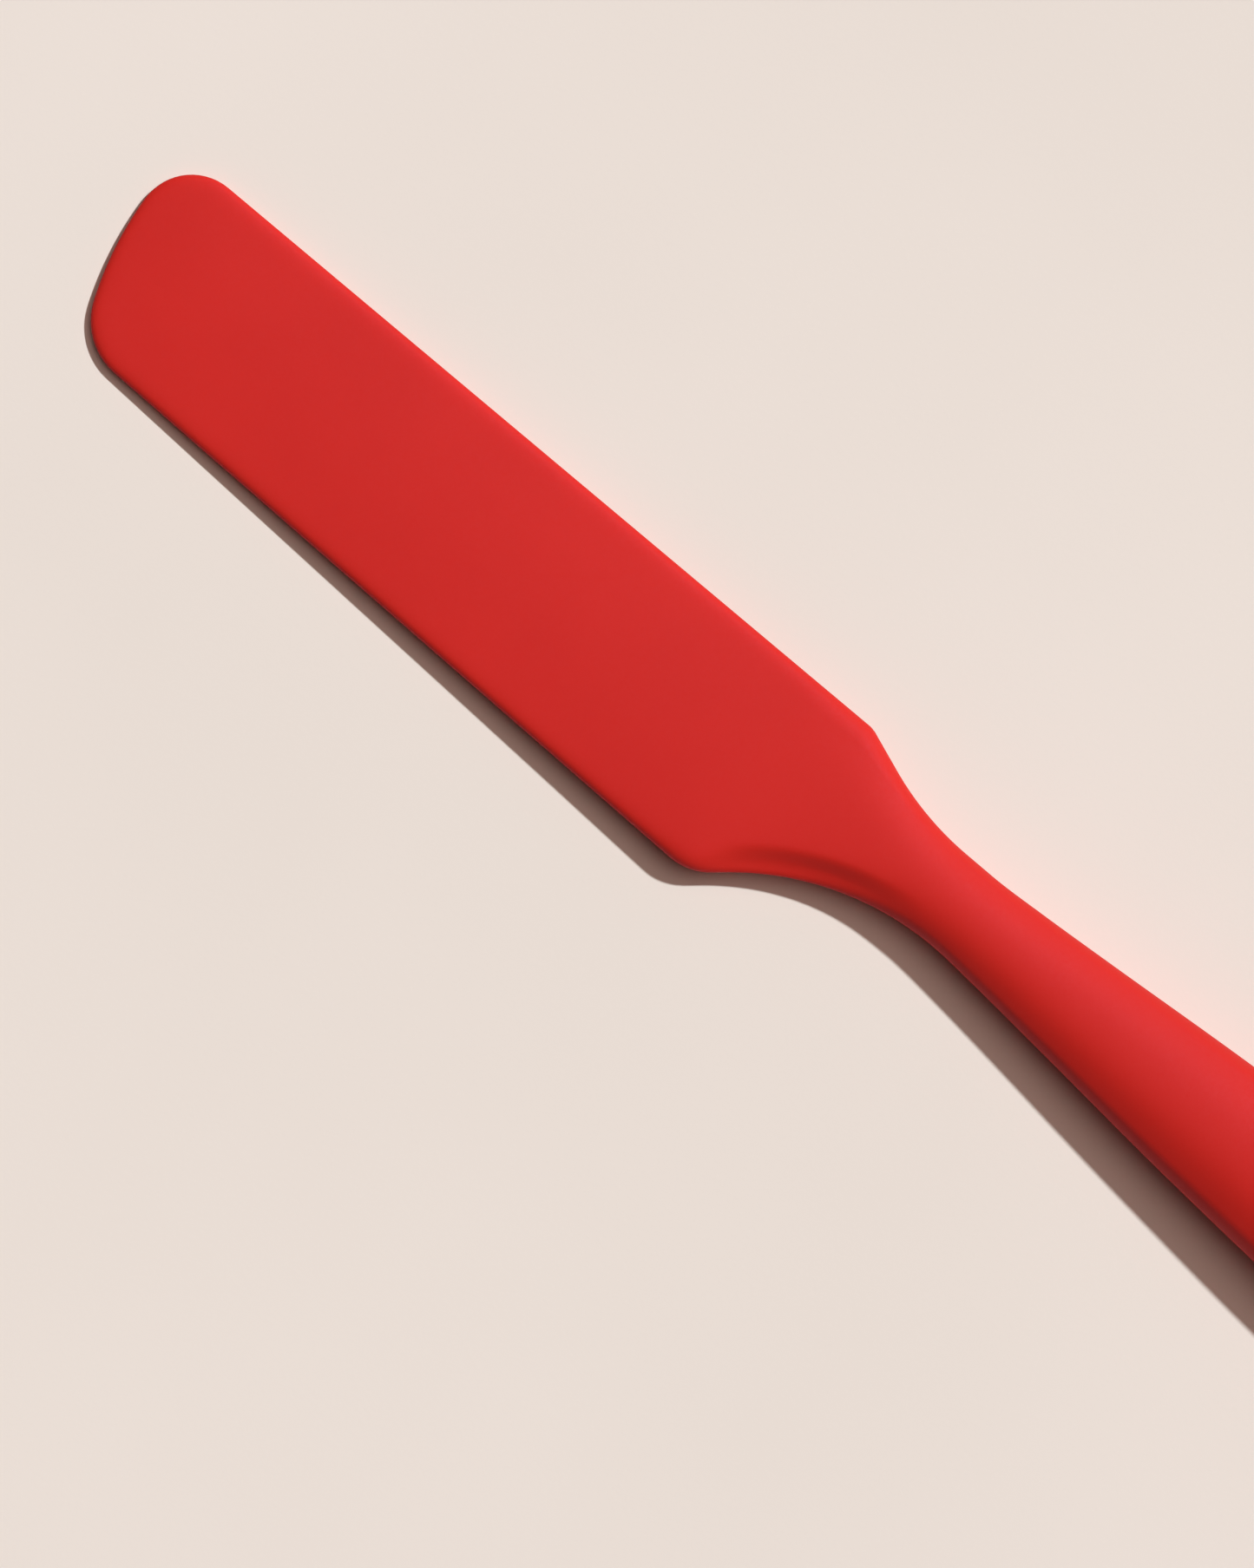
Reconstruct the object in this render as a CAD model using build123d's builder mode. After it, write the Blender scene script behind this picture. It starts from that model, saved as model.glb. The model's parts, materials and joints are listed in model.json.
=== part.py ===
from build123d import *
import os
from math import atan2, degrees, radians, sqrt, tan

# A one-piece silicone spatula: a long narrow blade, set off to one side of a slim oval handle.
# It is drawn level, with the blade's tip at x = 0, the handle towards -X, the handle's axis on the
# X axis and the blade's wide side towards +Y. A station is a distance back from the tip.
# Then it is laid on a table, and the pieces are made in that pose.

# ---- Driving dimensions, in millimetres and degrees ----
overall_length = 282.0

# Blade outline
narrow_edge_at_tip = -9.25
narrow_edge_at_shoulder = -9.88
wide_edge_at_tip = 16.95
wide_edge_at_shoulder = 18.05
front_radius = 43.0
front_centre_y = -5.0
narrow_tip_radius = 7.0
wide_tip_radius = 8.5
narrow_shoulder_station = 109.6
narrow_shoulder_angle = 20.0
narrow_shoulder_radius = 2.5
wide_shoulder_station = 103.8
wide_shoulder_angle = 41.0
wide_shoulder_radius = 7.5
neck_station = 131.0
neck_outline_half_width = 5.9
neck_fillet_radius = 38.0
outline_end_station = 136.0  # behind it the outline steps clear of the handle
outline_step = 1.0

# Oval sections of the whole body: station, centre y, half width, half thickness.
# On the blade the oval is wider than the outline, which trims it, so the blade is crowned: hardly
# at its tip, which lies flat on the table, and more towards the handle.
blade_centre_y = 4.1
sections = [
    (-1.0, blade_centre_y, 44.0, 0.90),
    (14.0, blade_centre_y, 36.0, 1.25),
    (40.0, blade_centre_y, 21.0, 1.50),
    (75.0, blade_centre_y, 17.5, 1.70),
    (98.0, blade_centre_y, 17.0, 1.95),
    (110.0, 2.9, 15.2, 2.55),
    (120.0, 1.0, 8.9, 3.35),
    (neck_station, 0.0, 5.65, 3.85),
    (150.0, 0.0, 6.80, 4.30),
    (172.0, 0.0, 8.60, 5.05),
    (195.0, 0.0, 9.85, 6.10),
    (220.0, 0.0, 10.25, 7.00),
    (245.0, 0.0, 10.15, 7.20),
    (256.0, 0.0, 9.80, 7.00),
]
end_dome_start = 256.0
end_dome_stations = [262.0, 269.0, 275.0, 279.0, 281.4]

# Rim of the blade
rim_radius = 0.5

# Hanging hole near the handle's end
hole_station = 268.0
hole_radius = 3.5

# Handle former, a nylon core inside the grip: its nose is a flat tongue, the rest follows the skin
skin_thickness = 1.6
former_nose = [
    (112.0, 1.4, 4.60, 1.25),
    (121.0, 0.5, 4.20, 1.75),
]
former_dome_stations = [261.0, 266.0, 270.0, 274.0, 277.0, 279.0]
former_tail_station = overall_length - 2.6
former_eye_radius = 5.2
window_length = 9.0
window_width = 6.4
window_stations = [172.0, 185.5, 199.0, 212.5, 226.0, 239.5]

# Spring strip, a stamped stainless blank that runs from the former into the blade
strip_thickness = 0.6
strip_tail_station = 158.0
strip_tang_half_width = 2.9
strip_flare_stations = (118.0, 104.0)
strip_flare_radius = 12.0
strip_blade_low_y = -2.9
strip_blade_high_y = 11.1
strip_front_station = 12.0
strip_front_radius = 5.0
keying_slot_length = 9.0
keying_slot_width = 3.0
keying_slot_stations = [26.0, 45.0, 64.0, 83.0]
tang_hole_radius = 1.25
tang_hole_stations = [138.0, 150.0]
pocket_clearance = 0.12

# Flex line, where the silicone is cut for a sprung hinge that stands for the blade's bending
flex_station = 96.0
knuckle_radius = 2.3
knuckle_gap = 0.4

# ---- Worked-out values ----
narrow_shoulder_slope = radians(narrow_shoulder_angle)
wide_shoulder_slope = radians(wide_shoulder_angle)
clear_of_body = 20.0  # further than any point of the body from its axis
measuring_tolerance = 0.01
tipping_rounds = 4


def oval_at(station, inset=0.0, end_station=overall_length):
    """Centre y, half width and half thickness of the handle or blade at a station, taken in by inset."""
    for row in sections:
        if row[0] == station:
            return row[1], row[2] - inset, row[3] - inset
    reach = (station - end_dome_start) / (end_station - end_dome_start)
    shrink = sqrt(1 - reach**2)
    return 0.0, (sections[-1][2] - inset) * shrink, (sections[-1][3] - inset) * shrink


def line_station(from_station, from_y, slope, to_y):
    """Station at which a line that falls towards the neck at a slope reaches to_y."""
    return from_station + abs(from_y - to_y) / tan(slope)


# ---- Silicone body: a loft of ovals, trimmed to the blade's outline ----
section_sketches = []
for station in [row[0] for row in sections] + end_dome_stations:
    centre_y, half_width, half_thickness = oval_at(station)
    with BuildSketch(Plane.YZ.offset(-station)) as oval:
        with Locations((centre_y, 0)):
            Ellipse(half_width, half_thickness)
    section_sketches.append(oval.sketch)

narrow_front_x = -front_radius + sqrt(front_radius**2 - (narrow_edge_at_tip - front_centre_y) ** 2)
wide_front_x = -front_radius + sqrt(front_radius**2 - (wide_edge_at_tip - front_centre_y) ** 2)
narrow_neck_station = line_station(
    narrow_shoulder_station, narrow_edge_at_shoulder, narrow_shoulder_slope, -neck_outline_half_width
)
wide_neck_station = line_station(
    wide_shoulder_station, wide_edge_at_shoulder, wide_shoulder_slope, neck_outline_half_width
)

with BuildSketch() as outline:
    with BuildLine():
        front = ThreePointArc(
            (narrow_front_x, narrow_edge_at_tip), (0, front_centre_y), (wide_front_x, wide_edge_at_tip)
        )
        Polyline(
            front @ 1,
            (-wide_shoulder_station, wide_edge_at_shoulder),
            (-wide_neck_station, neck_outline_half_width),
            (-outline_end_station, neck_outline_half_width),
            (-outline_end_station - outline_step, clear_of_body),
            (-overall_length - outline_step, clear_of_body),
            (-overall_length - outline_step, -clear_of_body),
            (-outline_end_station - outline_step, -clear_of_body),
            (-outline_end_station, -neck_outline_half_width),
            (-narrow_neck_station, -neck_outline_half_width),
            (-narrow_shoulder_station, narrow_edge_at_shoulder),
            front @ 0,
        )
    make_face()
    for x, y, radius in [
        (narrow_front_x, narrow_edge_at_tip, narrow_tip_radius),
        (wide_front_x, wide_edge_at_tip, wide_tip_radius),
        (-narrow_shoulder_station, narrow_edge_at_shoulder, narrow_shoulder_radius),
        (-wide_shoulder_station, wide_edge_at_shoulder, wide_shoulder_radius),
        (-wide_neck_station, neck_outline_half_width, neck_fillet_radius),
        (-narrow_neck_station, -neck_outline_half_width, neck_fillet_radius),
    ]:
        fillet(outline.vertices().sort_by_distance((x, y))[0], radius)

with BuildPart() as body:
    loft(sections=section_sketches)
    extrude(outline.sketch, amount=clear_of_body, both=True, mode=Mode.INTERSECT)
    blade_edges = body.edges().filter_by(lambda edge: edge.bounding_box().min.X > -outline_end_station)
    fillet(blade_edges.filter_by(lambda edge: abs(edge.center().Z) > rim_radius / 2), rim_radius)


def points_at_tilt(tilt):
    """Points all over the body's surface, when it is tipped about Y."""
    return (Rot(0, tilt, 0) * body.part).tessellate(measuring_tolerance)[0]


# Lying on a table: tipped until the blade's tip and the handle's belly both touch it, centred on its box
rest_tilt = 0.0
for _ in range(tipping_rounds):
    tipped_points = points_at_tilt(rest_tilt)
    tip_touch = min((point for point in tipped_points if point.X > -neck_station), key=lambda point: point.Z)
    belly_touch = min((point for point in tipped_points if point.X < -neck_station), key=lambda point: point.Z)
    rest_tilt += degrees(atan2(tip_touch.Z - belly_touch.Z, tip_touch.X - belly_touch.X))

tipped_points = points_at_tilt(rest_tilt)
centre_x = (min(point.X for point in tipped_points) + max(point.X for point in tipped_points)) / 2
centre_y = (min(point.Y for point in tipped_points) + max(point.Y for point in tipped_points)) / 2
lowest_z = min(point.Z for point in tipped_points)
rest = Pos(-centre_x, -centre_y, -lowest_z) * Rot(0, rest_tilt, 0)
body_at_rest = rest * body.part


def at_rest(plane):
    """A plane of the level drawing, moved with the spatula as it is laid down."""
    return Plane(rest * plane.location)


mid_plane = at_rest(Plane.XY)
side_plane = at_rest(Plane.XZ)

# ---- Spring strip: one stamped blank, with slots and holes that key it into its mouldings ----
with BuildSketch(mid_plane) as strip_blank:
    with BuildLine():
        Polyline(
            (-strip_tail_station, -strip_tang_half_width),
            (-strip_tail_station, strip_tang_half_width),
            (-strip_flare_stations[0], strip_tang_half_width),
            (-strip_flare_stations[1], strip_blade_high_y),
            (-strip_front_station, strip_blade_high_y),
            (-strip_front_station, strip_blade_low_y),
            close=True,
        )
    make_face()
    for x, y, radius in [
        (-strip_flare_stations[0], strip_tang_half_width, strip_flare_radius),
        (-strip_flare_stations[1], strip_blade_high_y, strip_flare_radius),
        (-strip_front_station, strip_blade_high_y, strip_front_radius),
        (-strip_front_station, strip_blade_low_y, strip_front_radius),
    ]:
        fillet(strip_blank.vertices().sort_by_distance((x, y))[0], radius)

with BuildSketch(mid_plane) as keying_slots:
    with Locations(*[(-station, blade_centre_y) for station in keying_slot_stations]):
        SlotOverall(keying_slot_length, keying_slot_width)

with BuildPart() as spring_strip:
    extrude(strip_blank.sketch, amount=strip_thickness / 2, both=True)
    extrude(keying_slots.sketch, amount=strip_thickness, both=True, mode=Mode.SUBTRACT)
    with BuildSketch(mid_plane):
        with Locations(*[(-station, 0) for station in tang_hole_stations]):
            Circle(tang_hole_radius)
    extrude(amount=strip_thickness, both=True, mode=Mode.SUBTRACT)

# The pocket that the strip needs in the blade: a little larger all round, with pegs through the slots
with BuildSketch(mid_plane) as pocket_outline:
    add(strip_blank.sketch_local)
    offset(amount=pocket_clearance)
with BuildSketch(mid_plane) as pocket_pegs:
    with Locations(*[(-station, blade_centre_y) for station in keying_slot_stations]):
        SlotOverall(keying_slot_length - 2 * pocket_clearance, keying_slot_width - 2 * pocket_clearance)
with BuildPart() as strip_pocket:
    extrude(pocket_outline.sketch, amount=strip_thickness / 2 + pocket_clearance, both=True)
    extrude(pocket_pegs.sketch, amount=strip_thickness, both=True, mode=Mode.SUBTRACT)

# ---- Handle former: follows the skin inside it, with windows that the silicone fills ----
former_sketches = []
former_rows = list(former_nose)
for station in [row[0] for row in sections if row[0] >= neck_station] + former_dome_stations:
    former_rows.append((station, *oval_at(station, skin_thickness, former_tail_station)))
for station, centre_y, half_width, half_thickness in former_rows:
    with BuildSketch(at_rest(Plane.YZ.offset(-station))) as oval:
        with Locations((centre_y, 0)):
            Ellipse(half_width, half_thickness)
    former_sketches.append(oval.sketch)

with BuildPart() as former_with_windows:
    loft(sections=former_sketches)
    with BuildSketch(mid_plane):
        with Locations(*[(-station, 0) for station in window_stations]):
            SlotOverall(window_length, window_width)
        with Locations((-hole_station, 0)):
            Circle(former_eye_radius)
    extrude(amount=clear_of_body, both=True, mode=Mode.SUBTRACT)

with BuildPart() as handle_former:
    add(former_with_windows.part)
    add(spring_strip.part, mode=Mode.SUBTRACT)

# ---- Silicone: one moulding, in two pieces either side of the flex line ----
with BuildPart() as silicone_grip:
    add(body_at_rest)
    with BuildSketch(side_plane):
        with Locations((-flex_station, 0)):
            Rectangle(overall_length, 2 * clear_of_body, align=(Align.MAX, Align.CENTER))
            Circle(knuckle_radius + knuckle_gap, mode=Mode.SUBTRACT)
    extrude(amount=2 * clear_of_body, both=True, mode=Mode.INTERSECT)
    add(former_with_windows.part, mode=Mode.SUBTRACT)
    add(spring_strip.part, mode=Mode.SUBTRACT)
    with BuildSketch(mid_plane):
        with Locations((-hole_station, 0)):
            Circle(hole_radius)
    extrude(amount=clear_of_body, both=True, mode=Mode.SUBTRACT)

with BuildPart() as silicone_blade:
    add(body_at_rest)
    with BuildSketch(side_plane):
        with Locations((-flex_station, 0)):
            Rectangle(overall_length, 2 * clear_of_body, align=(Align.MIN, Align.CENTER))
            Circle(knuckle_radius)
    extrude(amount=2 * clear_of_body, both=True, mode=Mode.INTERSECT)
    add(strip_pocket.part, mode=Mode.SUBTRACT)

flex_point = mid_plane.from_local_coords((-flex_station, 0, 0))
hole_point = mid_plane.from_local_coords((-hole_station, 0, 0))
print("flex axis at", flex_point, "hanging hole at", hole_point, "along", mid_plane.z_dir)

silicone_grip.part.label = "silicone_grip"
silicone_blade.part.label = "silicone_blade"
handle_former.part.label = "handle_former"
spring_strip.part.label = "spring_strip"

os.makedirs("parts", exist_ok=True)
export_step(silicone_grip.part, "parts/silicone_grip.step")
export_step(silicone_blade.part, "parts/silicone_blade.step")
export_step(handle_former.part, "parts/handle_former.step")
export_step(spring_strip.part, "parts/spring_strip.step")
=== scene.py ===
import json
from math import atan2, cos, pi, radians, sin, sqrt

import bmesh
import bpy
import numpy as np
from mathutils import Matrix, Vector


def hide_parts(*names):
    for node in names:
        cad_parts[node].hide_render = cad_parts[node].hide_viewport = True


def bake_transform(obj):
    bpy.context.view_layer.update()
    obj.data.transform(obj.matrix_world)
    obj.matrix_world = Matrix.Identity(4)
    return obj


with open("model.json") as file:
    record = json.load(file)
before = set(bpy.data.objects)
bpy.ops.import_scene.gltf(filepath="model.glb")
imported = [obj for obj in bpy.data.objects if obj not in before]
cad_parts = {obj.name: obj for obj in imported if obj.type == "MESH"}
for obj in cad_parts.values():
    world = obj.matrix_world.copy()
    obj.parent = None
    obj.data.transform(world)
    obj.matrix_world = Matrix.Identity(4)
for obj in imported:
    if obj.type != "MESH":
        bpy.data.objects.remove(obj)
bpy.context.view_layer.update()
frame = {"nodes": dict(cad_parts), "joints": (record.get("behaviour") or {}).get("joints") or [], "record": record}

# The spatula is drawn level, in millimetres: a station is a distance back from the blade's tip along the
# handle's axis, y is across it towards the blade's wide side, and z is up from the mid-plane.
# The flex joint and the hanging hole, which the frame gives, place that drawing in the row frame.

MM = 0.001

# ---- Outline, in millimetres and degrees ----
FLEX_STATION = 96.0
HOLE_STATION = 268.0
HOLE_RADIUS = frame["record"]["mounts"][0]["dims"]["r_mm"]
OVERALL_LENGTH = 281.4

FRONT_RADIUS = 43.0
FRONT_CENTRE_Y = -5.0
FRONT_MIDDLE_Y = 3.0  # where the paths of the two sides meet on the front edge
NARROW_EDGE = (-9.25, -9.88)  # y at the tip and at the shoulder
WIDE_EDGE = (16.95, 18.05)
NARROW_TIP_RADIUS = 7.0
WIDE_TIP_RADIUS = 8.5
NARROW_SHOULDER = (109.6, 20.0, 2.5)  # station, angle, corner radius
WIDE_SHOULDER = (103.8, 41.0, 7.5)
NECK_HALF_WIDTH = 5.6
NECK_STATION = 132.0
NECK_RADIUS = 38.0
NECK_LEAD = 0.5  # from the neck's arc to the first station of the handle

# Handle, behind the neck: station, half width
HANDLE_WIDTHS = [
    (132.0, 5.6), (140.0, 6.03), (150.0, 6.80), (172.0, 8.58),
    (195.0, 9.85), (220.0, 10.25), (245.0, 10.15), (256.0, 9.80),
]
DOME_START = 256.0  # from here to its end the handle is rounded off

ARC_STEP = 0.08
HANDLE_POINTS = 1500
DOME_POINTS = 900
OUTLINE_POINTS = 6000

# ---- Section of the silicone ----
# Half thickness on the centreline: station, half thickness
THICKNESSES = [
    (-1.0, 0.90), (6.0, 1.08), (14.0, 1.25), (40.0, 1.45), (75.0, 1.60),
    (98.0, 1.90), (110.0, 2.50), (120.0, 3.30), (131.0, 3.85), (150.0, 4.30),
    (172.0, 5.05), (195.0, 6.10), (220.0, 7.00), (245.0, 7.20), (256.0, 7.00),
]

# How square the section is, by station: 2 is an ellipse, and 30 is a flat plate with a round rim
SQUARENESS = [
    (0.0, 30.0), (92.0, 30.0), (108.0, 9.0), (120.0, 3.0),
    (134.0, 2.2), (160.0, 2.4), (282.0, 2.4),
]
BLADE_CROWN = 0.35  # share of the thickness that the blade loses between its centreline and its rim
TIP_STATION = 13.0  # ahead of it the blade's half width is taken as constant
MIX_START, MIX_END = 92.0, 122.0  # the section turns from a flat plate into an oval
LEAST_HALF_WIDTH = 1e-6  # keeps divisions by the half width finite at the end of the handle
LEAST_INSET = 1.0  # the depth is never divided by less than this

WEB_STATIONS = [(102.5, 0.0), (108.0, 1.0), (116.0, 1.0), (130.0, 0.0)]  # station, share of the web's drop
WEB_EDGE = (1.0, 3.7)  # from the outline to the web's inner edge, and on to where the body is full
WEB_DROP = 0.50  # share of the height that the web loses

# ---- Mesh of the silicone ----
LONG_CELLS, CROSS_CELLS = 360, 34
RIM_ANGLES = np.radians([0, 4, 8, 12, 16, 20, 24, 28, 33])
SMALLEST_RIM_WIDTH = 3.6
# The grid's corners lie where the outline is nearest to these, on the handle's end and the wide side's tip
PAST_THE_END = 1.0
END_CORNER_Y = 5.0
WIDE_CORNER_STATION = 5.5
RELAX_STEPS = 700
SMOOTH_STEPS = 60
POINTS_AT_A_TIME = 500

HOLE_RIM_RADIUS = 1.1
HOLE_BLOCK = (9, 12)  # half the block of cells that the hole replaces, along and across
HOLE_LOOPS = 4
LIP_RINGS = 8
WALL_RINGS = 7
LIP_PROBE = 0.3  # how far beyond the hole's edge the slope of the surface is measured

# ---- Spring strip, inside the silicone ----
STRIP_THICKNESS = 0.6
STRIP_EDGE_RADIUS = 0.12
STRIP_EDGE_STEPS = 2
STRIP_TAIL = 158.0
STRIP_TAIL_RADIUS = 1.0
STRIP_TANG = 2.9  # half width
STRIP_FLARE = (118.0, 104.0)
STRIP_FLARE_RADIUS = 12.0
STRIP_SHOULDER_RADIUS = 6.0
STRIP_SIDES = (-2.9, 11.1)
STRIP_FRONT = 12.0
STRIP_FRONT_RADIUS = 5.0
STRIP_SLOTS = [26.0, 45.0, 64.0, 83.0]
STRIP_SLOT_SIZE = (9.0, 3.0)
STRIP_SLOT_Y = 4.1
STRIP_HOLES = [138.0, 150.0]
STRIP_HOLE_RADIUS = 1.25
STRIP_POINT_SPACING = 0.4
STRIP_OPENING_SPACING = 0.25
STRIP_CUT_SPACING = 2.0  # between the cuts across it that let it bend smoothly
MERGE_DISTANCE = 0.001
CUT_TOLERANCE = 1e-5

FLOOR_CELLS = 12
FLOOR_HALF_SIZE = 1.5  # in metres

VIEW_STATION, VIEW_Y = 91.2, 14.6  # the point of the level drawing in the middle of the view
VIEW_HEIGHT = 0.65
FRAME_HEIGHT = 0.1915  # of the floor that the view takes in, in metres
AXIS_ANGLE = 40.4  # degrees that the spatula's axis falls to the right in the view
SENSOR_HEIGHT = 36.0
CLIP_RANGE = (0.01, 20.0)

LIGHT_HEADING = (-0.336, -0.942)  # towards the light, in plan
SUN = {"elevation": 49.7, "angle": 2.5, "strength": 3.07, "colour": (1.0, 0.985, 0.975)}
GLOW = {"elevation": 68.0, "angle": 45.0, "strength": 0.89, "colour": (1.0, 0.65, 0.55)}
SKY_COLOUR = (1.0, 0.88, 0.80)
SKY_STRENGTH = 0.03

# ---- Frame ----
flex_joint = frame["joints"][0]
hanging_hole = frame["record"]["mounts"][0]
flex_point = Vector(flex_joint["pos_m"])
hole_point = Vector(hanging_hole["pos_m"])
back = (hole_point - flex_point).normalized()
up = Vector(hanging_hole["axis"]).normalized()
across = Vector((0, 1, 0))


def place(station, y, z):
    """A point of the level drawing, in the row frame, in metres."""
    return flex_point + (back * (station - FLEX_STATION) + across * y + up * z) * MM


def place_all(points):
    """The same for an array of points, one per row."""
    basis = np.array([back, across, up])
    return np.array(flex_point) + (points - np.array([FLEX_STATION, 0, 0])) @ basis * MM


# ---- Curves ----
def smooth_curve(table):
    """A function that runs smoothly through the rows of a table, level at both of its ends."""
    xs, ys = (np.array(column, float) for column in zip(*table))
    slopes = np.zeros(len(xs))
    slopes[1:-1] = (ys[2:] - ys[:-2]) / (xs[2:] - xs[:-2])

    def value(x):
        x = np.clip(x, xs[0], xs[-1])
        i = np.clip(np.searchsorted(xs, x) - 1, 0, len(xs) - 2)
        width = xs[i + 1] - xs[i]
        t = (x - xs[i]) / width
        return ((1 + 2 * t) * (1 - t) ** 2 * ys[i] + t * (1 - t) ** 2 * width * slopes[i]
                + t * t * (3 - 2 * t) * ys[i + 1] + t * t * (t - 1) * width * slopes[i + 1])

    return value


handle_half_width = smooth_curve(HANDLE_WIDTHS)
half_thickness = smooth_curve(THICKNESSES)
squareness = smooth_curve(SQUARENESS)
web_presence = smooth_curve(WEB_STATIONS)


def ease(value, start, end):
    """Rises smoothly from 0 at start to 1 at end."""
    t = np.clip((value - start) / (end - start), 0, 1)
    return t * t * (3 - 2 * t)


def dome_share(station):
    """How much of its thickness the handle keeps over the round of its end."""
    reach = np.clip((station - DOME_START) / (OVERALL_LENGTH - DOME_START), 0, 1)
    return np.sqrt(1 - reach**2)


def arc(centre, radius, start, end):
    """Points along an arc between two angles in radians."""
    count = max(2, int(abs(end - start) * radius / ARC_STEP))
    angles = np.linspace(start, end, count)
    return [(centre[0] + radius * cos(a), centre[1] + radius * sin(a)) for a in angles]


def rounded_corner(before, corner, after, radius):
    """The arc that rounds a corner of a path."""
    to_before = np.subtract(before, corner)
    to_after = np.subtract(after, corner)
    to_before = to_before / np.linalg.norm(to_before)
    to_after = to_after / np.linalg.norm(to_after)
    half = np.arccos(np.clip(to_before @ to_after, -1, 1)) / 2
    middle = to_before + to_after
    centre = np.array(corner) + middle / np.linalg.norm(middle) * radius / sin(half)
    touch = [np.array(corner) + side * radius / np.tan(half) - centre for side in (to_before, to_after)]
    start, end = (atan2(t[1], t[0]) for t in touch)
    turn = (end - start + pi) % (2 * pi) - pi
    return arc(centre, radius, start, start + turn)


def evenly(path, cells):
    """Points evenly spaced along a path, without its last one."""
    steps = np.linalg.norm(np.diff(path, axis=0), axis=1)
    run = np.concatenate([[0], np.cumsum(steps)])
    at = np.linspace(0, run[-1], cells + 1)[:-1]
    return np.column_stack([np.interp(at, run, path[:, k]) for k in (0, 1)])


# ---- Outline of the silicone ----
def tip_path(sign, tip_y, tip_radius):
    """From the middle of the front edge round the blade's corner, and the station where its side begins."""
    corner_y = tip_y - sign * tip_radius
    reach = FRONT_RADIUS - tip_radius
    corner_station = FRONT_RADIUS - sqrt(reach**2 - (corner_y - FRONT_CENTRE_Y) ** 2)
    touch_angle = atan2(corner_y - FRONT_CENTRE_Y, corner_station - FRONT_RADIUS)
    front_middle = atan2(FRONT_MIDDLE_Y - FRONT_CENTRE_Y, -FRONT_RADIUS)
    touch_angle += 2 * pi * (touch_angle < 0)
    front_middle += 2 * pi * (front_middle < 0)
    path = arc((FRONT_RADIUS, FRONT_CENTRE_Y), FRONT_RADIUS, front_middle, touch_angle)
    path += arc((corner_station, corner_y), tip_radius, touch_angle, pi - sign * pi / 2)
    return path, corner_station


def handle_path(sign, first):
    """From a station behind the neck to the end of the handle."""
    stations = np.linspace(first, DOME_START, HANDLE_POINTS)
    path = [(s, sign * float(handle_half_width(s))) for s in stations]
    for turn in np.linspace(0, pi / 2, DOME_POINTS)[1:]:
        station = DOME_START + (OVERALL_LENGTH - DOME_START) * sin(turn)
        path.append((station, sign * HANDLE_WIDTHS[-1][1] * cos(turn)))
    return path


def side_path(sign, edge, tip_radius, shoulder):
    """One side of the outline, from the middle of the front edge to the end of the handle."""
    tip_y, shoulder_y = edge
    shoulder_station, angle, shoulder_radius = shoulder
    path, corner_station = tip_path(sign, tip_y, tip_radius)
    neck_y = sign * NECK_HALF_WIDTH
    neck_station = shoulder_station + abs(shoulder_y - neck_y) / np.tan(radians(angle))
    tip_point = (corner_station, tip_y)
    shoulder_point = (shoulder_station, shoulder_y)
    neck_point = (neck_station, neck_y)
    handle_point = (HOLE_STATION, neck_y)
    neck_arc = rounded_corner(shoulder_point, neck_point, handle_point, NECK_RADIUS)
    path += rounded_corner(tip_point, shoulder_point, neck_point, shoulder_radius)
    path += neck_arc
    path += handle_path(sign, max(NECK_STATION, neck_arc[-1][0] + NECK_LEAD))
    return np.array(path)


def behind_tip(path):
    """The part of a side from the first point behind the blade's tip."""
    return path[int(np.argmax(path[:, 0] > TIP_STATION)):]


narrow_path = side_path(-1, NARROW_EDGE, NARROW_TIP_RADIUS, NARROW_SHOULDER)
wide_path = side_path(1, WIDE_EDGE, WIDE_TIP_RADIUS, WIDE_SHOULDER)
outline = evenly(np.vstack([narrow_path, wide_path[::-1][1:]]), OUTLINE_POINTS)
narrow_side = behind_tip(narrow_path)
wide_side = behind_tip(wide_path)


# ---- Height of the surface over the mid-plane ----
def sides(station):
    """The outline's y on its narrow and its wide side."""
    station = np.clip(station, TIP_STATION, OVERALL_LENGTH)
    narrow = np.interp(station, narrow_side[:, 0], narrow_side[:, 1])
    wide = np.interp(station, wide_side[:, 0], wide_side[:, 1])
    return narrow, wide


def distance_in(points):
    """Distance from each point to the outline."""
    found = np.empty(len(points))
    for first in range(0, len(points), POINTS_AT_A_TIME):
        last = first + POINTS_AT_A_TIME
        part = points[first:last]
        found[first:last] = np.sqrt(((part[:, None] - outline[None]) ** 2).sum(2).min(1))
    return found


def height(points, depth=None):
    """Height of the upper surface over points; depth is their distance from the outline, if known."""
    station, y = points[:, 0], points[:, 1]
    narrow, wide = sides(station)
    half_width = np.maximum((wide - narrow) / 2, LEAST_HALF_WIDTH)
    sideways = np.clip(np.abs(y - (wide + narrow) / 2) / half_width, 0, 1)
    depth = distance_in(points) if depth is None else depth
    inwards = np.clip(1 - depth / np.maximum(half_width, LEAST_INSET), 0, 1)
    mix = ease(station, MIX_START, MIX_END)
    q = (1 - mix) * inwards + mix * sideways
    crown = 1 - BLADE_CROWN * (1 - mix) * q**2
    full = half_thickness(station) * dome_share(station)
    return full * crown * np.sqrt(np.clip(1 - q ** squareness(station), 0, 1))


def web(points, depth):
    """Share of the height left where the blade runs on as a thin web beside the neck, on its wide side."""
    narrow, wide = sides(points[:, 0])
    lowered = 1 - ease(depth, *WEB_EDGE)
    return 1 - WEB_DROP * web_presence(points[:, 0]) * lowered * (points[:, 1] > (wide + narrow) / 2)


# ---- Grid of the upper surface, seen from above ----
def nearest(points, target):
    return int(np.argmin(((points - np.array(target)) ** 2).sum(1)))


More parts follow.
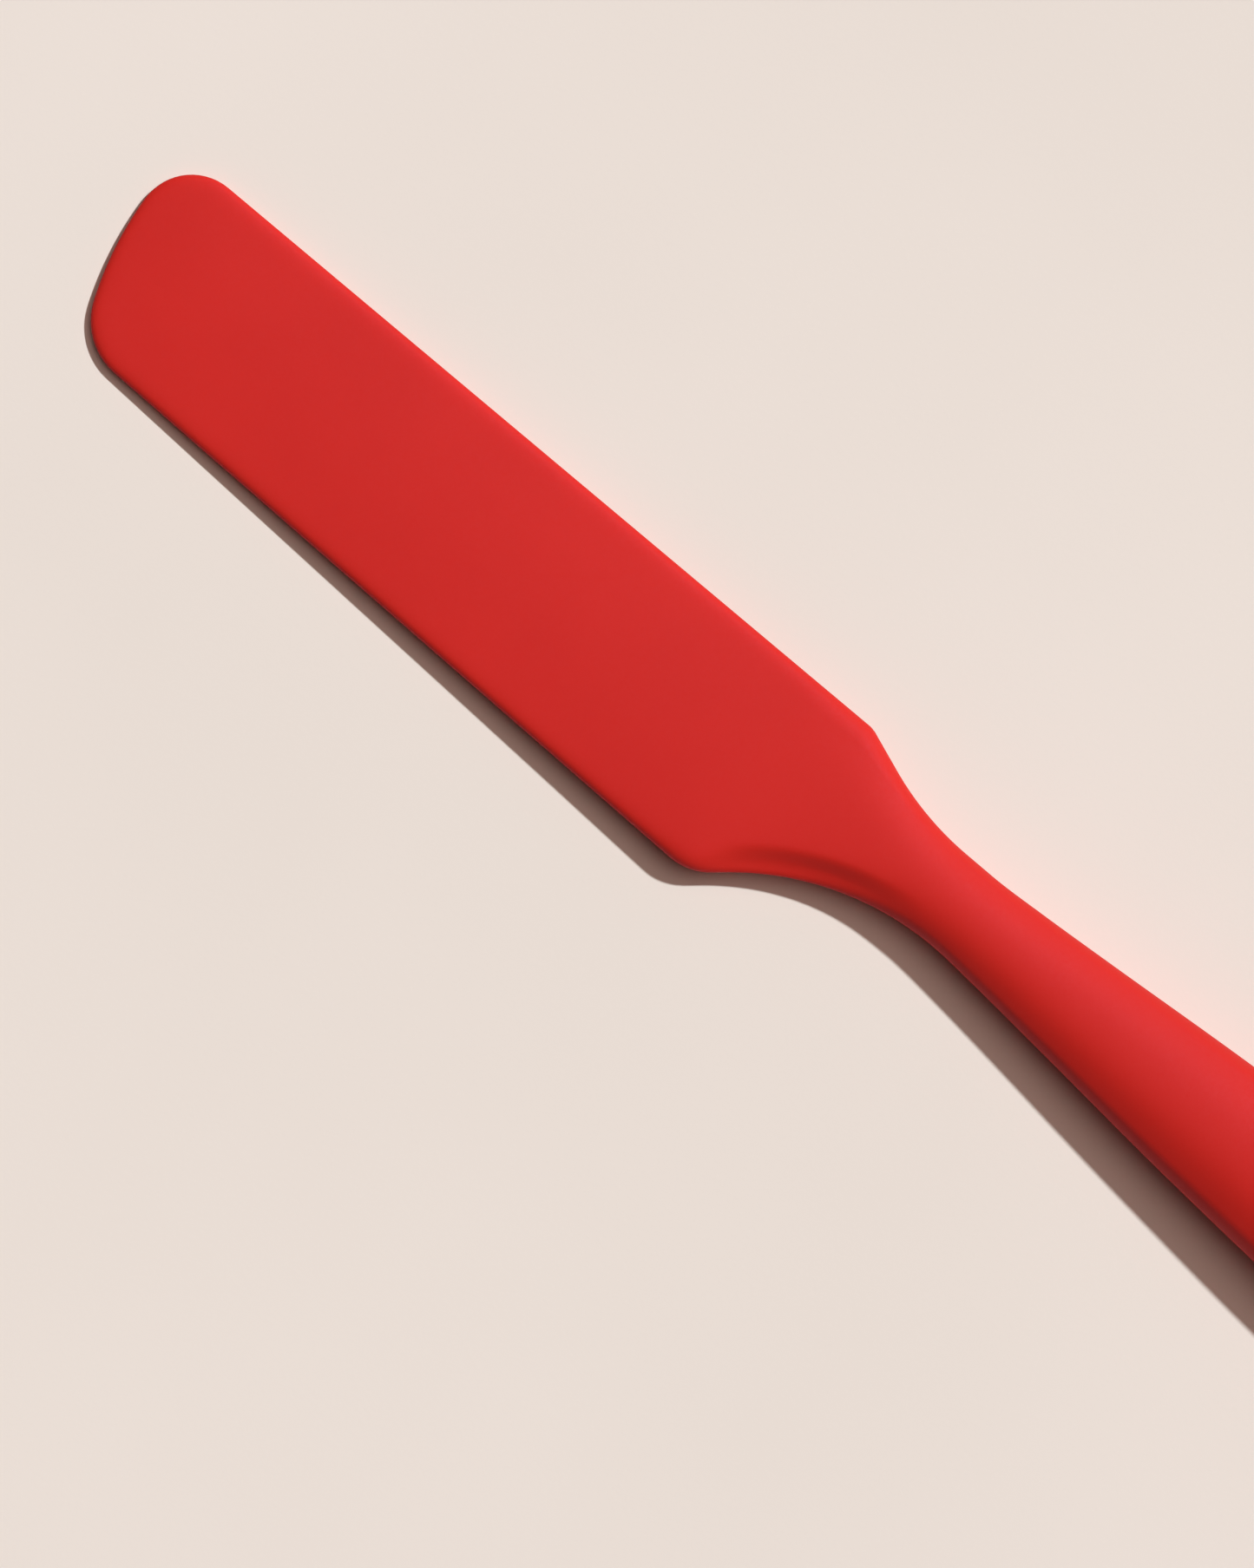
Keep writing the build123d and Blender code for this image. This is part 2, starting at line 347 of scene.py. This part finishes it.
def outline_loop():
    """The outline as a loop of points: narrow side, end, wide side and front, a fixed number on each."""
    past_end = OVERALL_LENGTH + PAST_THE_END
    targets = [(0, NARROW_EDGE[0]), (past_end, -END_CORNER_Y), (past_end, END_CORNER_Y),
               (WIDE_CORNER_STATION, WIDE_EDGE[0])]
    corners = [nearest(outline, target) for target in targets]
    loop = []
    for k, cells in enumerate((LONG_CELLS, CROSS_CELLS, LONG_CELLS, CROSS_CELLS)):
        first, last = corners[k], corners[(k + 1) % 4]
        stretch = outline[first:last + 1]
        if last <= first:
            stretch = np.vstack([outline[first:], outline[:last + 1]])
        loop.append(evenly(stretch, cells))
    return np.vstack(loop)


class Grid:
    """Points in the plan, the quads that join them, and which of them stay put while the rest relax."""

    def __init__(self):
        self.points, self.depths, self.quads, self.fixed = [], [], [], []

    def add(self, points, depth=np.nan, fixed=False):
        first = len(self.points)
        self.points += [tuple(p) for p in points]
        self.depths += list(np.broadcast_to(depth, len(points)))
        self.fixed += [fixed] * len(points)
        return list(range(first, len(self.points)))

    def band(self, outer, inner):
        """Quads between two loops with the same number of points."""
        count = len(outer)
        for k in range(count):
            self.quads.append((outer[k], outer[(k + 1) % count], inner[(k + 1) % count], inner[k]))

    def at(self, indices):
        """The points at some indices, as an array."""
        return np.array([self.points[index] for index in indices])


def add_rim(grid):
    """Rings from the outline inwards, closest together where the rim is steepest."""
    loop = outline_loop()
    tangent = np.roll(loop, -1, axis=0) - np.roll(loop, 1, axis=0)
    tangent /= np.linalg.norm(tangent, axis=1)[:, None]
    inward = np.column_stack([-tangent[:, 1], tangent[:, 0]])
    narrow, wide = sides(loop[:, 0])
    rim_width = np.maximum((wide - narrow) / 2, SMALLEST_RIM_WIDTH)
    rings = []
    for angle in RIM_ANGLES:
        depth = (1 - cos(angle)) * rim_width
        rings.append(grid.add(loop + inward * depth[:, None], depth, fixed=True))
    for outer, inner in zip(rings, rings[1:]):
        grid.band(outer, inner)
    return rings


def add_patch(grid, edge):
    """Rows of points inside the last ring, from the front to the end, with the ring as their edge."""
    wide_start = LONG_CELLS + CROSS_CELLS
    front_start = 2 * LONG_CELLS + CROSS_CELLS
    narrow_edge = edge[:LONG_CELLS + 1]
    wide_edge = edge[wide_start:front_start + 1][::-1]
    patch = np.zeros((LONG_CELLS + 1, CROSS_CELLS + 1), int)
    patch[:, 0] = narrow_edge
    patch[:, -1] = wide_edge
    patch[0] = (edge[front_start:] + edge[:1])[::-1]
    patch[-1] = edge[LONG_CELLS:wide_start + 1]
    shares = np.linspace(0, 1, CROSS_CELLS + 1)[1:-1, None]
    for i in range(1, LONG_CELLS):
        low, high = grid.at((narrow_edge[i], wide_edge[i]))
        patch[i, 1:-1] = grid.add(low + (high - low) * shares)
    return patch


def add_hole(grid, patch):
    """Joins the patch's points, with loops round the hanging hole in place of a block of its cells."""
    middle = CROSS_CELLS // 2
    hole_row = nearest(grid.at(patch[:, middle]), (HOLE_STATION, 0))
    rows = (hole_row - HOLE_BLOCK[0], hole_row + HOLE_BLOCK[0])
    columns = (middle - HOLE_BLOCK[1], middle + HOLE_BLOCK[1])
    for i in range(LONG_CELLS):
        for j in range(CROSS_CELLS):
            if not (rows[0] <= i < rows[1] and columns[0] <= j < columns[1]):
                grid.quads.append((patch[i, j], patch[i + 1, j], patch[i + 1, j + 1], patch[i, j + 1]))
    block = ([patch[i, columns[0]] for i in range(rows[0], rows[1])]
             + [patch[rows[1], j] for j in range(columns[0], columns[1])]
             + [patch[i, columns[1]] for i in range(rows[1], rows[0], -1)]
             + [patch[rows[0], j] for j in range(columns[1], columns[0], -1)])
    block_points = grid.at(block)
    first_turn = np.arctan2(block_points[0, 1], block_points[0, 0] - HOLE_STATION)
    turns = first_turn + np.linspace(0, 2 * pi, len(block) + 1)[:-1]
    circle = np.column_stack([HOLE_STATION + np.cos(turns) * (HOLE_RADIUS + HOLE_RIM_RADIUS),
                              np.sin(turns) * (HOLE_RADIUS + HOLE_RIM_RADIUS)])
    previous = block
    for share in np.linspace(0, 1, HOLE_LOOPS + 1)[1:]:
        current = grid.add(block_points * (1 - share) + circle * share, fixed=share == 1)
        grid.band(previous, current)
        previous = current
    return previous


def neighbour_mean(values, ends, count):
    """For each vertex, the mean of its neighbours' values."""
    here, there = ends.T
    total = np.column_stack([np.bincount(here, column[there], len(values)) for column in values.T])
    return total / np.maximum(count, 1)[:, None]


def upper_surface():
    """The upper half of the skin: its points, its quads, and its loops on the outline and round the hole."""
    grid = Grid()
    rings = add_rim(grid)
    hole_edge = add_hole(grid, add_patch(grid, rings[-1]))
    points = np.array(grid.points)
    depths = np.array(grid.depths)
    free = ~np.array(grid.fixed)
    quads = np.array(grid.quads)
    ends = np.vstack([quads[:, [k, (k + 1) % 4]] for k in range(4)])
    ends = np.vstack([ends, ends[:, ::-1]])
    count = np.bincount(ends[:, 0], minlength=len(points))

    # The free points relax, so that the cells are even and none is folded
    for _ in range(RELAX_STEPS):
        points[free] = neighbour_mean(points, ends, count)[free]

    # The distance to the outline leaves hips in the height near the tip, which are smoothed away
    inside = distance_in(points)
    depths = np.where(np.isnan(depths), inside, depths)
    heights = height(points, depths)[:, None]
    for _ in range(SMOOTH_STEPS):
        heights[free] = (0.5 * heights + 0.5 * neighbour_mean(heights, ends, count))[free]
    heights *= web(points, inside)[:, None]
    surface = np.column_stack([points, heights])
    surface[rings[0], 2] = 0
    return surface, quads, rings[0], hole_edge


# ---- Silicone skin ----
def hole_wall(edge_points):
    """Rings from the hanging hole's edge over its rounded lip and down its wall to the mid-plane."""
    centre = np.array([HOLE_STATION, 0.0])
    spokes = (edge_points[:, :2] - centre) / (HOLE_RADIUS + HOLE_RIM_RADIUS)
    beyond = edge_points[:, :2] + spokes * LIP_PROBE
    fall = np.arctan2(edge_points[:, 2] - height(beyond), LIP_PROBE)
    lip = HOLE_RIM_RADIUS / (1 + np.sin(fall))
    lip_height = edge_points[:, 2] - lip * np.cos(fall)
    found = []
    for share in np.linspace(0, 1, LIP_RINGS + 1)[1:]:
        lean = fall + (-pi / 2 - fall) * share
        radius = HOLE_RADIUS + lip * (1 + np.sin(lean))
        found.append(np.column_stack([centre + spokes * radius[:, None], lip_height + lip * np.cos(lean)]))
    for share in np.linspace(0, 1, WALL_RINGS + 1)[1:]:
        found.append(np.column_stack([centre + spokes * HOLE_RADIUS, lip_height * (1 - share)]))
    return found


def link(name, data):
    """A new object in the scene."""
    built = bpy.data.objects.new(name, data)
    bpy.context.scene.collection.objects.link(built)
    return built


def mesh_object(name, vertices, faces):
    mesh = bpy.data.meshes.new(name)
    mesh.from_pydata([tuple(v) for v in vertices], [], [tuple(int(i) for i in face) for face in faces])
    mesh.validate()
    mesh.polygons.foreach_set("use_smooth", [True] * len(mesh.polygons))
    return link(name, mesh)


def silicone_skin():
    """The overmould's outside, as one closed surface: the upper half, and its mirror image below it."""
    surface, quads, outline_ring, previous = upper_surface()
    vertices = [surface]
    faces = [tuple(q[::-1]) for q in quads]
    count = len(surface)
    for ring in hole_wall(surface[previous]):
        current = list(range(count, count + len(ring)))
        faces += [(current[k - 1], current[k], previous[k], previous[k - 1]) for k in range(len(ring))]
        vertices.append(ring)
        count += len(ring)
        previous = current
    upper = np.vstack(vertices)
    on_mid_plane = set(outline_ring) | set(previous)
    upper[list(on_mid_plane), 2] = 0
    mirrored = {i: i if i in on_mid_plane else i + count for i in range(count)}
    lower = upper * (1, 1, -1)
    faces += [tuple(mirrored[i] for i in reversed(face)) for face in faces]
    every = np.vstack([upper, lower])
    used = sorted({i for face in faces for i in face})
    renumbered = {old: new for new, old in enumerate(used)}
    faces = [tuple(renumbered[i] for i in face) for face in faces]
    return mesh_object("silicone_skin", place_all(every[used]), faces)


# ---- Spring strip ----
def rounded_path(corners):
    """A closed path through corners, each given as station, y and the radius that rounds it."""
    path = []
    for k, (station, y, radius) in enumerate(corners):
        before, after = corners[k - 1], corners[(k + 1) % len(corners)]
        path += rounded_corner(before[:2], (station, y), after[:2], radius)
    return path


def thin_path(path, spacing):
    """The same path with its points about spacing apart."""
    kept = [path[0]]
    for point in path[1:]:
        if sqrt((point[0] - kept[-1][0]) ** 2 + (point[1] - kept[-1][1]) ** 2) >= spacing:
            kept.append(point)
    return kept


def strip_outline():
    low, high = STRIP_SIDES
    tang_end, blade_end = STRIP_FLARE
    corners = [
        (STRIP_TAIL, -STRIP_TANG, STRIP_TAIL_RADIUS),
        (STRIP_TAIL, STRIP_TANG, STRIP_TAIL_RADIUS),
        (tang_end, STRIP_TANG, STRIP_FLARE_RADIUS),
        (blade_end, high, STRIP_SHOULDER_RADIUS),
        (STRIP_FRONT, high, STRIP_FRONT_RADIUS),
        (STRIP_FRONT, low, STRIP_FRONT_RADIUS),
    ]
    return rounded_path(corners)


def slot_outline(station, y, length, width):
    radius = width / 2
    reach = length / 2 - radius
    right = arc((station + reach, y), radius, -pi / 2, pi / 2)
    left = arc((station - reach, y), radius, pi / 2, 3 * pi / 2)
    return right + left


def add_outline(curve, path, spacing):
    path = thin_path(path, spacing)
    spline = curve.splines.new("POLY")
    spline.points.add(len(path) - 1)
    for point, (x, y) in zip(spline.points, path):
        point.co = (x, y, 0, 1)
    spline.use_cyclic_u = True


def strip_mesh():
    """The strip's outline with its slots and holes, given thickness and broken edges, still level."""
    curve = bpy.data.curves.new("strip_outline", "CURVE")
    curve.dimensions = "2D"
    curve.fill_mode = "BOTH"
    curve.extrude = STRIP_THICKNESS / 2 - STRIP_EDGE_RADIUS
    curve.bevel_depth = STRIP_EDGE_RADIUS
    curve.bevel_resolution = STRIP_EDGE_STEPS
    curve.offset = -STRIP_EDGE_RADIUS
    add_outline(curve, strip_outline(), STRIP_POINT_SPACING)
    for station in STRIP_SLOTS:
        add_outline(curve, slot_outline(station, STRIP_SLOT_Y, *STRIP_SLOT_SIZE), STRIP_OPENING_SPACING)
    for station in STRIP_HOLES:
        add_outline(curve, arc((station, 0), STRIP_HOLE_RADIUS, 0, 2 * pi)[:-1], STRIP_OPENING_SPACING)
    drawn = bpy.data.objects.new("strip_outline", curve)
    mesh = bpy.data.meshes.new_from_object(drawn)
    bpy.data.objects.remove(drawn)
    return mesh


def spring_strip():
    """The strip, cut across at even steps so that it bends smoothly, and put in its place."""
    mesh = strip_mesh()
    work = bmesh.new()
    work.from_mesh(mesh)
    bmesh.ops.remove_doubles(work, verts=work.verts, dist=MERGE_DISTANCE)
    for station in np.arange(STRIP_FRONT + STRIP_CUT_SPACING, STRIP_TAIL, STRIP_CUT_SPACING):
        whole = work.verts[:] + work.edges[:] + work.faces[:]
        bmesh.ops.bisect_plane(
            work, geom=whole, dist=CUT_TOLERANCE, plane_co=(station, 0, 0), plane_no=(1, 0, 0))
    bmesh.ops.recalc_face_normals(work, faces=work.faces)
    for vertex in work.verts:
        vertex.co = place(*vertex.co)
    work.to_mesh(mesh)
    work.free()
    mesh.name = "spring_strip_mesh"
    return link("spring_strip_sheet", mesh)


# ---- Materials ----
class Look:
    """A material and its Principled shader, with helpers that add and join procedural nodes."""

    def __init__(self, name):
        self.material = bpy.data.materials.new(name)
        self.material.use_nodes = True
        self.nodes = self.material.node_tree.nodes
        self.links = self.material.node_tree.links
        self.shader = self.nodes["Principled BSDF"]

    def coordinates(self, stretch=None):
        """The object's own coordinates, stretched along its axes if asked."""
        found = self.nodes.new("ShaderNodeTexCoord").outputs["Object"]
        if stretch is None:
            return found
        mapping = self.nodes.new("ShaderNodeMapping")
        mapping.inputs["Scale"].default_value = stretch
        self.links.new(found, mapping.inputs["Vector"])
        return mapping.outputs["Vector"]

    def noise(self, coordinates, scale, detail, roughness=0.5):
        texture = self.nodes.new("ShaderNodeTexNoise")
        texture.inputs["Scale"].default_value = scale
        texture.inputs["Detail"].default_value = detail
        texture.inputs["Roughness"].default_value = roughness
        self.links.new(coordinates, texture.inputs["Vector"])
        return texture.outputs["Fac"]

    def ramp(self, source, target, places, low_colour, high_colour):
        """Drives one of the shader's sockets between two colours, at two places of a source."""
        found = self.nodes.new("ShaderNodeValToRGB")
        for element, position, colour in zip(found.color_ramp.elements, places, (low_colour, high_colour)):
            element.position = position
            element.color = (*colour, 1)
        self.links.new(source, found.inputs["Fac"])
        self.links.new(found.outputs["Color"], self.shader.inputs[target])

    def bump(self, source, strength, distance):
        bump = self.nodes.new("ShaderNodeBump")
        bump.inputs["Strength"].default_value = strength
        bump.inputs["Distance"].default_value = distance
        self.links.new(source, bump.inputs["Height"])
        self.links.new(bump.outputs["Normal"], self.shader.inputs["Normal"])

    def set(self, socket, value):
        self.shader.inputs[socket].default_value = value


def grey(value):
    return (value, value, value)


def silicone_material():
    """Matt silicone: a fine moulded texture, slightly uneven colour, and a soft gloss."""
    look = Look("matt_silicone")
    where = look.coordinates()
    cloud = look.noise(where, scale=45.0, detail=2.0)
    look.ramp(cloud, "Base Color", (0.3, 0.7), (0.595, 0.0168, 0.0068), (0.625, 0.0188, 0.0080))
    grain = look.noise(where, scale=2600.0, detail=2.0, roughness=0.6)
    look.ramp(grain, "Roughness", (0.3, 0.7), grey(0.66), grey(0.74))
    look.bump(grain, strength=0.10, distance=0.00004)
    look.set("IOR", 1.41)
    look.set("Subsurface Weight", 0.35)
    look.set("Subsurface Scale", 0.004)
    look.set("Specular Tint", (0.7, 0.65, 1.0, 1.0))
    return look.material


def steel_material():
    """Spring steel, brushed along its length."""
    look = Look("brushed_strip_steel")
    where = look.coordinates(stretch=(60.0, 4200.0, 4200.0))
    lines = look.noise(where, scale=1.0, detail=3.0)
    look.ramp(lines, "Base Color", (0.25, 0.75), (0.50, 0.50, 0.49), (0.63, 0.62, 0.61))
    look.ramp(lines, "Roughness", (0.25, 0.75), grey(0.26), grey(0.40))
    look.bump(lines, strength=0.15, distance=0.00002)
    look.set("Metallic", 1.0)
    return look.material


def nylon_material():
    """Glass-filled nylon: dark grey, with short fibres showing faintly at its surface."""
    look = Look("glass_filled_nylon")
    where = look.coordinates(stretch=(500.0, 2200.0, 2200.0))
    fibres = look.noise(where, scale=1.0, detail=4.0, roughness=0.7)
    look.ramp(fibres, "Base Color", (0.35, 0.75), (0.095, 0.095, 0.103), (0.150, 0.150, 0.160))
    look.ramp(fibres, "Roughness", (0.3, 0.7), grey(0.42), grey(0.56))
    look.bump(fibres, strength=0.12, distance=0.00004)
    look.set("IOR", 1.53)
    return look.material


def paper_material():
    """The pale floor: matt card with a barely uneven tone."""
    look = Look("pale_card")
    where = look.coordinates()
    cloud = look.noise(where, scale=9.0, detail=3.0)
    look.ramp(cloud, "Base Color", (0.3, 0.7), (0.770, 0.762, 0.722), (0.800, 0.793, 0.755))
    tooth = look.noise(where, scale=1400.0, detail=3.0)
    look.bump(tooth, strength=0.08, distance=0.0001)
    look.set("Roughness", 0.9)
    look.set("Specular IOR Level", 0.2)
    return look.material


# ---- Pieces on the frame ----
def dress_object():
    """Makes the pieces, gives each its material, and dresses the CAD node that stays."""
    skin = silicone_skin()
    skin.data.materials.append(silicone_material())
    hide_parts("silicone_grip", "silicone_blade")
    strip = spring_strip()
    strip.data.materials.append(steel_material())
    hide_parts("spring_strip")
    for piece in (skin, strip):
        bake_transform(piece)
    former = frame["nodes"]["handle_former"]
    nylon = nylon_material()
    for slot in former.material_slots:
        slot.material = nylon


# ---- Floor, light and camera ----
def floor():
    work = bmesh.new()
    bmesh.ops.create_grid(work, x_segments=FLOOR_CELLS, y_segments=FLOOR_CELLS, size=FLOOR_HALF_SIZE)
    mesh = bpy.data.meshes.new("floor")
    work.to_mesh(mesh)
    work.free()
    mesh.materials.append(paper_material())
    built = link("floor", mesh)


def distant_light(name, elevation, angle, strength, colour):
    lamp = bpy.data.lights.new(name, "SUN")
    lamp.angle = radians(angle)
    lamp.energy = strength
    lamp.color = colour
    rise = radians(elevation)
    towards = Vector((LIGHT_HEADING[0] * cos(rise), LIGHT_HEADING[1] * cos(rise), sin(rise)))
    link(name, lamp).rotation_euler = towards.to_track_quat("Z", "Y").to_euler()


def light():
    """A small bright source, the soft glow above it, and a little light from everywhere."""
    distant_light("sun", **SUN)
    distant_light("glow", **GLOW)
    world = bpy.data.worlds.new("sky")
    world.use_nodes = True
    background = world.node_tree.nodes["Background"]
    background.inputs["Color"].default_value = (*SKY_COLOUR, 1.0)
    background.inputs["Strength"].default_value = SKY_STRENGTH
    bpy.context.scene.world = world


def camera():
    """Looks straight down, turned so that the spatula crosses the view from upper left to lower right."""
    data = bpy.data.cameras.new("camera")
    data.sensor_fit = "VERTICAL"
    data.sensor_height = SENSOR_HEIGHT
    data.lens = data.sensor_height * VIEW_HEIGHT / FRAME_HEIGHT
    data.clip_start, data.clip_end = CLIP_RANGE
    built = link("camera", data)
    turn = radians(AXIS_ANGLE)
    right = Vector((-cos(turn), -sin(turn), 0))
    above = Vector((sin(turn), -cos(turn), 0))
    aim = place(VIEW_STATION, VIEW_Y, 0)
    eye = Vector((aim.x, aim.y, VIEW_HEIGHT))
    axes = Matrix((right, above, right.cross(above))).transposed()
    built.matrix_world = Matrix.Translation(eye) @ axes.to_4x4()
    bpy.context.scene.camera = built


camera()
dress_object()
floor()
light()
bpy.context.scene.view_settings.view_transform = "Standard"
